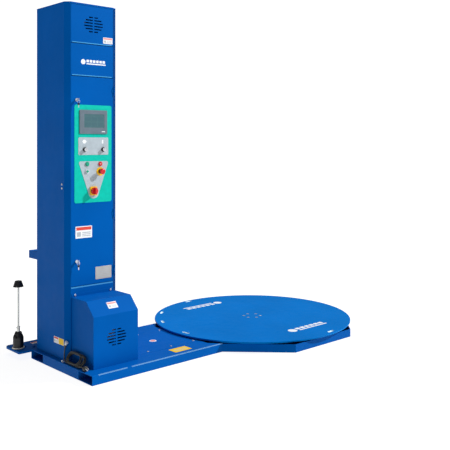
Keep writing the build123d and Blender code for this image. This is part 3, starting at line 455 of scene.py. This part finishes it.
def turn_outline(radius, near, far):
    """One long loop, from the middle of its low side toward -Y and round to the start."""
    low_end = near + radius
    high_end = far - radius
    outline = [(0, 0), (0, low_end / 2)]
    for i in range(7):
        a = math.radians(180 + 30 * i)
        outline.append((radius + radius * math.cos(a), low_end + radius * math.sin(a)))
    outline += [(2 * radius, low_end / 2), (2 * radius, 0), (2 * radius, high_end / 2)]
    for i in range(7):
        a = math.radians(30 * i)
        outline.append((radius + radius * math.cos(a), high_end + radius * math.sin(a)))
    outline.append((0, high_end / 2))
    return outline


cord_points = [EXIT, CORNER, INTO_COIL]
for turn, (radius, near, far, low_x, low_z, tilt) in enumerate(COIL_TURNS):
    after = COIL_TURNS[min(turn + 1, len(COIL_TURNS) - 1)]
    outline = turn_outline(radius, near, far)
    for step, (across, along) in enumerate(outline):
        ease = max(0.0, step / len(outline) - 0.5) / 0.5
        x = low_x + (after[3] - low_x) * ease
        z = low_z + (after[4] - low_z) * ease
        lean = math.radians(tilt + (after[5] - tilt) * ease)
        x += across * math.cos(lean)
        z += across * math.sin(lean)
        cord_points.append(Vector((at_x(x), at_y(COIL_Y + along), z * MM)))
for x, y, z in TAIL:
    cord_points.append(Vector((at_x(x), at_y(y), z * MM)))
for behind in (0.022, 0.003):
    cord_points.append(PLUG_BACK + Vector((0, behind, 0)))

cord_curve = bpy.data.curves.new("power_cord_run", "CURVE")
cord_curve.dimensions = "3D"
cord_curve.bevel_depth = CORD_D / 2
cord_curve.bevel_resolution = 5
cord_curve.resolution_u = 8
cord_curve.use_fill_caps = True
spline = cord_curve.splines.new("NURBS")
spline.points.add(len(cord_points) - 1)
for point, place in zip(spline.points, cord_points):
    point.co = (*place, 1.0)
spline.order_u = 3
spline.use_endpoint_u = True
cord_curve.materials.append(CORD_BLACK)
cord = bpy.data.objects.new("power_cord_run", cord_curve)
bpy.context.scene.collection.objects.link(cord)
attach(cord, "base")
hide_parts("power_cord", "cord_coil")

down = (CORNER - EXIT).normalized()
relief_profile = [
    (7.6, -3), (7.6, 4), (6.9, 6), (6.9, 9), (6.2, 11), (6.2, 14), (5.5, 16), (5.5, 19), (4.7, 24),
]
relief = lathe("cord_strain_relief", relief_profile, EXIT, down, CORD_BLACK, "base")

toward_pins = -Y_AXIS
plug_profile = [
    (5.0, 0), (6.5, 1), (6.5, 4), (7.6, 5), (7.6, 8), (8.8, 9), (8.8, 14), (13, 18), (16.4, 24),
    (17, 28), (16.2, 30), (17, 32), (16.2, 34), (17, 36), (17, 39), (16, 40),
]
plug_body = lathe(
    "plug_body", plug_profile, PLUG_BACK, toward_pins, CORD_BLACK, "base",
)
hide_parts("plug")
PLUG_FACE_AT = PLUG_BACK + toward_pins * 0.040
plug_face = lathe(
    "plug_face", [(15.0, 0), (15.0, 0.9), (14.3, 1.4)], PLUG_FACE_AT, toward_pins,
    CORD_BLACK, "base",
)
pin_profile = [(2.4, 0), (2.4, 18), (1.8, 19.6), (0.9, 20)]
for i, (dx, dz) in enumerate(((-6.3, 3.0), (6.3, 3.0), (0.0, -6.5))):
    root = PLUG_FACE_AT + Vector((dx * MM, 0, dz * MM))
    pin = lathe(
        f"plug_pin_{i + 1}", pin_profile, root, toward_pins, CHROME, "base", 20,
    )


# =============================================================================
# CAD nodes that keep their shape
# =============================================================================
for node in (
    "base_frame", "fork_pockets", "turntable_tray", "chain_cover", "mast_cap",
    "vent_panel", "upper_panel", "motor_cover", "carriage_frame", "carriage_lower_plate",
    "control_door",
):
    dress(node, BLUE)


def in_rim_pocket(c, n):
    ring = 755 * MM < math.hypot(c.x, c.y) < 805 * MM
    return ring and DISC_TOP - 5.3 * MM < c.z < DISC_TOP - 0.1 * MM


dress("turntable_disc", TABLE_BLUE, (POCKET, in_rim_pocket))
# painted shade: the right front chamfer of the mast is drawn in a darker blue
dress("mast_shell", BLUE, (PAINTED_SHADE_BLUE, lambda c, n: 0.3 < n.x < 0.7 and n.y < -0.7))
for node in (
    "panel_screws", "hub_bolts", "bearing_housing", "turntable_hub", "roller_brackets",
    "table_sprocket", "lift_sprocket_top", "lift_sprocket_bottom", "lift_idler_bracket",
    "guide_rails", "carriage_trolley",
):
    dress(node, STEEL)
dress("film_spindle_rod", SHAFT)
for node in ("table_gearmotor", "lift_gearmotor", "stretch_gearmotor"):
    dress(node, GREY_PAINT)
for i in range(4):
    dress(f"support_roller_{i + 1}", NYLON)
for node in ("stretch_roller_a", "stretch_roller_b"):
    box_low, box_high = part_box(node)
    radius = (box_high.x - box_low.x) / 2
    centre = (box_low + box_high) / 2

    def on_shaft(c, n, centre=centre, radius=radius):
        return math.hypot(c.x - centre.x, c.y - centre.y) < radius * 0.3

    dress(node, RUBBER, (STEEL, on_shaft))
dress("idler_roller", ALUMINIUM)
dress("film_core_hub", BLACK, (NYLON, lambda c, n: c.z < 71.5 * MM))
dress("film_top_cone", BLACK)
dress("fascia_panel", TEAL)
dress("control_plates", PALE)


def on_screen(c, n):
    return FASCIA_FACE - 5.2 * MM < c.y < FASCIA_FACE - 4.6 * MM and n.y < -0.9


dress("hmi_panel", BEZEL, (SCREEN, on_screen))

# controls on the lower plate: start over the lamp on the left, stop over the emergency stop
LEFT_COLUMN = at_x(191)
RIGHT_COLUMN = at_x(297)
BUTTON_Z = 1.405
LAMP_Z = 1.354
ESTOP_Z = 1.352


def on_lamp_lens(c, n):
    near = abs(c.x - LEFT_COLUMN) < 9 * MM and abs(c.z - LAMP_Z) < 9 * MM
    return near and c.y < PLATE_FACE - 5.2 * MM


def on_start_ring(c, n):
    return math.hypot(c.x - LEFT_COLUMN, c.z - BUTTON_Z) < 16 * MM


def on_stop_ring(c, n):
    return math.hypot(c.x - RIGHT_COLUMN, c.z - BUTTON_Z) < 16 * MM


dress(
    "button_bezels", LIGHT_RING, (GREEN, on_lamp_lens), (GREEN, on_start_ring),
    (RED, on_stop_ring),
)


def on_collar(c, n):
    near = math.hypot(c.x - RIGHT_COLUMN, c.z - ESTOP_Z) < 17 * MM
    return near and c.y < PLATE_FACE - 2.2 * MM


dress("yellow_bases", YELLOW, (BLACK, on_collar))
dress("start_button", GREEN)
dress("stop_button", RED)
dress("estop_button", RED)
dress("main_switch_handle", RED)


def on_knob_cap(c, n):
    return c.y < PLATE_FACE - 18.8 * MM and n.y < -0.9


for side in ("left", "right"):
    dress(f"knob_{side}", BLACK, (CHROME, on_knob_cap))
for place, lock_z in (("upper", 1.847), ("lower", 0.738)):
    def on_spare_head(c, n, lock_z=lock_z):
        return lock_z - 36 * MM < c.z < lock_z - 20.5 * MM

    dress(f"key_lock_{place}", CHROME, (BLACK, on_spare_head))


def on_tube_label(c, n):
    return at_x(700) < c.x < at_x(880) and c.y < at_y(140)


dress("safety_labels", LABEL, (YELLOW_INK, on_tube_label))
dress("door_labels", LABEL, (ALUMINIUM, lambda c, n: c.z < 0.75))
dress("cable_gland", WHITE_NYLON)

mast_mid_x = (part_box("mast_shell")[0].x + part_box("mast_shell")[1].x) / 2


def in_drive_bay(c):
    return c.y < 0.117 and 0.70 <= c.z <= 1.151


def on_drive(c, n):
    return in_drive_bay(c) and c.x < mast_mid_x + 0.012


def on_duct(c, n):
    return in_drive_bay(c) and c.x > mast_mid_x + 0.055


def on_terminal(c, n):
    return c.y < 0.109 and 1.20 < c.z < 1.29


def on_controller(c, n):
    return c.y < 0.117 and c.z > 1.41


dress(
    "equipment_plate", PANEL_GREY, (BEZEL, on_drive), (DUCT, on_duct), (TERMINAL, on_terminal),
    (BLACK, on_controller),
)


# =============================================================================
# Roller chains in place of the plain bands
# =============================================================================
CHAIN_HALF_WIDTH = 0.005
TABLE_CHAIN_PITCH = 0.01905
TABLE_CHAIN_H = 0.0058    # the straight plates cut the curve, and must clear the tooth tips
LIFT_CHAIN_PITCH = 0.0127
LIFT_CHAIN_H = 0.0064


def loop_path(centre_a, radius_a, centre_b, radius_b, u, v):
    """Closed track around two wheels: a function of distance that gives place and heading."""
    gap = (centre_b - centre_a).length
    along = (centre_b - centre_a).normalized()
    across = u.cross(v).normalized().cross(along).normalized()
    lean = math.asin((radius_b - radius_a) / gap)
    straight = math.sqrt(gap ** 2 - (radius_b - radius_a) ** 2)
    arc_b = (math.pi + 2 * lean) * radius_b
    arc_a = (math.pi - 2 * lean) * radius_a
    total = 2 * straight + arc_a + arc_b

    def turned(angle):
        return along * math.cos(angle) + across * math.sin(angle)

    start_angle = math.pi / 2 + lean

    def track(distance):
        d = distance % total
        if d < straight:
            out = turned(start_angle)
            place = centre_a + out * radius_a
            end = centre_b + out * radius_b
            return place + (end - place) * (d / straight), out
        d -= straight
        if d < arc_b:
            out = turned(start_angle - d / radius_b)
            return centre_b + out * radius_b, out
        d -= arc_b
        if d < straight:
            out = turned(-start_angle)
            place = centre_b + out * radius_b
            end = centre_a + out * radius_a
            return place + (end - place) * (d / straight), out
        d -= straight
        out = turned(-start_angle - d / radius_a)
        return centre_a + out * radius_a, out

    return track, total


def chain(name, track, total, normal, pitch, height, node):
    """Roller chain: side plates in pairs, narrow and wide in turn, with a roller at each pin."""
    links = int(total / pitch / 2) * 2
    pitch = total / links
    points = []
    faces = []

    def prism(middle, forward, outward, shape, low, high):
        first = len(points)
        count = len(shape)
        for level in (low, high):
            for a, b in shape:
                points.append(middle + forward * a + outward * b + normal * level)
        faces.append(tuple(range(first + count, first + 2 * count)))
        faces.append(tuple(reversed(range(first, first + count))))
        for i in range(count):
            j = (i + 1) % count
            faces.append((first + i, first + j, first + count + j, first + count + i))

    plate = []
    for end in (1, -1):
        for i in range(5):
            a = math.radians(-90 + 45 * i) if end > 0 else math.radians(90 + 45 * i)
            plate.append((end * pitch / 2 + height / 2 * math.cos(a), height / 2 * math.sin(a)))
    roller_shape = []
    for i in range(10):
        a = 2 * math.pi * i / 10
        roller_shape.append((height * 0.42 * math.cos(a), height * 0.42 * math.sin(a)))
    for link in range(links):
        here, out = track(link * pitch)
        there, out_there = track((link + 1) * pitch)
        forward = (there - here).normalized()
        outward = (out + out_there).normalized()
        inner = CHAIN_HALF_WIDTH * (0.50 if link % 2 else 0.74)
        outer = inner + CHAIN_HALF_WIDTH * 0.22
        middle = (here + there) / 2
        prism(middle, forward, outward, plate, inner, outer)
        prism(middle, forward, outward, plate, -outer, -inner)
        prism(here, forward, out, roller_shape, -CHAIN_HALF_WIDTH * 0.5, CHAIN_HALF_WIDTH * 0.5)
    piece = new_piece(name, points, faces, DARK_STEEL, "base")
    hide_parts(node)


table_motor = Vector((at_x(250), -0.130, 0.051))
track, total = loop_path(table_motor, 0.0538, Vector((0, 0, 0.051)), 0.2038, X_AXIS, Y_AXIS)
chain(
    "drive_roller_chain", track, total, Z_AXIS, TABLE_CHAIN_PITCH, TABLE_CHAIN_H, "drive_chain",
)
low_wheel = Vector((mast_mid_x, 0.282, 0.125))
high_wheel = Vector((mast_mid_x, 0.282, 2.420))
track, total = loop_path(low_wheel, 0.0438, high_wheel, 0.0438, Y_AXIS, Z_AXIS)
chain("lift_roller_chain", track, total, X_AXIS, LIFT_CHAIN_PITCH, LIFT_CHAIN_H, "lift_chain")


# =============================================================================
# Printed areas: plain bars and fields, with no lettering
# =============================================================================
def blank_mark(name, origin, u, v, length, body):
    """Generic white mark: a round field and two rows of plain bars."""
    k = length / 200
    outlines = [circle(18 * k, 0, 18 * k)]
    for i in range(6):
        u0 = (44 + 26 * i) * k
        outlines.append(rect(u0, u0 + 20 * k, -2 * k, 16 * k, 2 * k))
    outlines.append(rect(44 * k, 200 * k, -16 * k, -8 * k, 2 * k))
    return inlay(name, outlines, origin, u, v, WHITE_INK, body)


front_u = X_AXIS
front_v = Z_AXIS
blank_mark(
    "upper_panel_mark", Vector((at_x(144), DOOR_FACE, 2.113)), front_u, front_v, 200,
    "base",
)
blank_mark(
    "disc_mark_near", Vector((-0.150, -0.565, DISC_TOP)), X_AXIS, Y_AXIS, 420,
    "turntable",
)
blank_mark(
    "disc_mark_far", Vector((0.150, 0.565, DISC_TOP)), -X_AXIS, -Y_AXIS, 420,
    "turntable",
)


def label_print(name, origin, u, v, width, height, header, body, rows=3, field=True):
    """Header bar over grey rows, on a label whose lower left corner is origin."""
    edge = min(width, height) * 0.07
    head_v = height * 0.66
    head = rect(edge, width - edge, head_v, height - edge, 1)
    inlay(name + "_header", [head], origin, u, v, header, body)
    outlines = []
    if field:
        outlines.append(rect(edge * 2, width * 0.32, height * 0.14, height * 0.52, 2))
    start = width * 0.40 if field else edge * 2
    for i in range(rows):
        v0 = height * (0.14 + 0.42 * i / rows)
        outlines.append(rect(start, width - edge * 2, v0, v0 + height * 0.07))
    inlay(name + "_rows", outlines, origin, u, v, GREY_INK, body)


film_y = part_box("door_labels")[0].y
label_print(
    "vent_label_print", Vector((at_x(323), DOOR_FACE - 0.8 * MM, 2.254)), front_u, front_v,
    78, 43, PINK_INK, "base",
)
label_print(
    "door_label_print", Vector((at_x(101), film_y, 0.895)), front_u, front_v,
    131, 82, RED_INK, "door",
)
nameplate_rows = [rect(10, 122, 11 + 12 * i, 15 + 12 * i) for i in range(6)]
inlay(
    "nameplate_rows", nameplate_rows, Vector((at_x(260), film_y, 0.596)), front_u, front_v,
    GREY_INK, "door",
)
side_u = -Y_AXIS
side_face = Vector((MAST_LEFT - 0.8 * MM, at_y(546), 0.166))
label_print("side_label_print", side_face, side_u, front_v, 64, 44, RED_INK, "base", 2)
inlay(
    "side_label_yellow", [rect(66, 132, 1, 43, 2)], side_face, side_u, front_v,
    YELLOW_INK, "base",
)
slope_v = Vector((0, 1, 1)).normalized()
slope_mid = Vector((at_x(250), at_y(151.5), 0.4565))
slope_up = X_AXIS.cross(slope_v).normalized()
label_print(
    "cover_label_print",
    slope_mid - X_AXIS * 0.0375 - slope_v * 0.025 + slope_up * 0.0008,
    X_AXIS, slope_v, 75, 50, PINK_INK, "base",
)
inlay(
    "tube_label_rows", [rect(20, 130, 20 + 16 * i, 26 + 16 * i) for i in range(3)],
    Vector((at_x(717), at_y(49), BASE_TOP + 0.8 * MM)), X_AXIS, Y_AXIS,
    GREY_INK, "base",
)
inlay(
    "oval_label_field", [circle(0, 0, 20)], Vector((at_x(780), at_y(403), BASE_TOP + 0.8 * MM)),
    X_AXIS, Y_AXIS, PINK_INK, "base",
)
plate_top = 60 * MM
inlay(
    "carriage_label", [rect(0, 56, 0, 44, 3)], Vector((at_x(82), at_y(952), plate_top)),
    X_AXIS, Y_AXIS, LABEL, "carriage", 0.0005,
)
inlay(
    "carriage_label_band", [rect(4, 52, 25, 40, 2)],
    Vector((at_x(82), at_y(952), plate_top + 0.5 * MM)),
    X_AXIS, Y_AXIS, RED_INK, "carriage",
)

# painted highlights: pale strips on the folded lips of the panels and along the front edge of the
# base stand in for the light that these edges catch
for node in ("vent_panel", "upper_panel"):
    panel_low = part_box(node)[0]
    inlay(
        node + "_highlight_strip", [rect(-160, 160, 0.8, 6.5)], Vector((mast_mid_x, DOOR_FACE, panel_low.z)),
        front_u, front_v, HIGHLIGHT_BLUE, "base",
    )
door_opening_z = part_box("control_door")[0].z - 3 * MM
inlay(
    "door_sill_highlight_strip", [rect(-168, 168, -9, -0.6)], Vector((mast_mid_x, DOOR_FACE, door_opening_z)),
    front_u, front_v, HIGHLIGHT_BLUE, "base",
)
# painted highlight in two spans along the top front edge of the base
shine_spans = ((47, 270), (306, 1122))
inlay(
    "base_edge_highlight_top", [rect(a, b, 0.6, 8) for a, b in shine_spans],
    Vector((BASE_END, BASE_FRONT, BASE_TOP)), X_AXIS, Y_AXIS, EDGE_SHINE, "base",
)
inlay(
    "base_edge_highlight_front", [rect(a, b, -4.6, -0.6) for a, b in shine_spans],
    Vector((BASE_END, BASE_FRONT, BASE_TOP)), X_AXIS, Z_AXIS, EDGE_SHINE, "base",
)

# dial scales, screen tiles and button faces
for side, x in (("left", 173), ("right", 322)):
    outlines = []
    for i in range(11):
        a = math.radians(-60 + 30 * i)
        middle_u = 21.5 * math.cos(a)
        middle_v = 21.5 * math.sin(a)
        outlines.append(circle(middle_u, middle_v, 1.1, 10))
    inlay(
        f"dial_scale_{side}", outlines, Vector((at_x(x), PLATE_FACE, 1.506)), front_u, front_v,
        WHITE_INK, "door",
    )
diamond = [(-17, 0), (-6, -13), (8, -13), (19, 0), (6, 13), (-6, 13)]
inlay(
    "dial_field_left", [diamond], Vector((at_x(169), PLATE_FACE, 1.561)), front_u, front_v,
    WHITE_INK, "door",
)
inlay(
    "dial_field_right", [rect(-6, 6, -14, 14, 5)], Vector((at_x(317), PLATE_FACE, 1.560)),
    front_u, front_v, WHITE_INK, "door",
)
tiles = []
for column in range(3):
    for row in range(2):
        u0 = 8 + 51 * column
        v0 = 8 + 36 * row
        tiles.append(rect(u0, u0 + 44, v0, v0 + 28, 2))
inlay(
    "screen_tiles", tiles, Vector((at_x(166), FASCIA_FACE - 5 * MM, 1.658)), front_u, front_v,
    SCREEN_DARK, "door", 0.0001,
)
inlay(
    "hmi_status_bar", [rect(176, 205, 14, 19, 2)], Vector((at_x(130), FASCIA_FACE - 6 * MM, 1.614)),
    front_u, front_v, WHITE_INK, "door",
)
inlay(
    "stop_button_face", [circle(0, 0, 5.0)],
    Vector((RIGHT_COLUMN, PLATE_FACE - 7 * MM, BUTTON_Z)),
    front_u, front_v, PINK_INK, "stop",
)


# =============================================================================
# Floor
# =============================================================================
FLOOR_HALF = 60.0
FLOOR_Z = -0.0005
floor_shader = Shader("studio_floor")
floor_shader.surface.inputs["Base Color"].default_value = (0.25, 0.25, 0.25, 1)
floor_shader.surface.inputs["Roughness"].default_value = 1.0
floor_shader.put(shine=0.0)
floor_shader.surface.inputs["Emission Color"].default_value = WHITE
floor_shader.surface.inputs["Emission Strength"].default_value = 0.9
floor_mesh = bpy.data.meshes.new("studio_floor")
floor_corners = [(-1, -1), (1, -1), (1, 1), (-1, 1)]
floor_mesh.from_pydata(
    [(a * FLOOR_HALF, b * FLOOR_HALF, FLOOR_Z) for a, b in floor_corners], [], [(0, 1, 2, 3)]
)
floor_mesh.materials.append(floor_shader.material)
floor = bpy.data.objects.new("studio_floor", floor_mesh)
bpy.context.scene.collection.objects.link(floor)
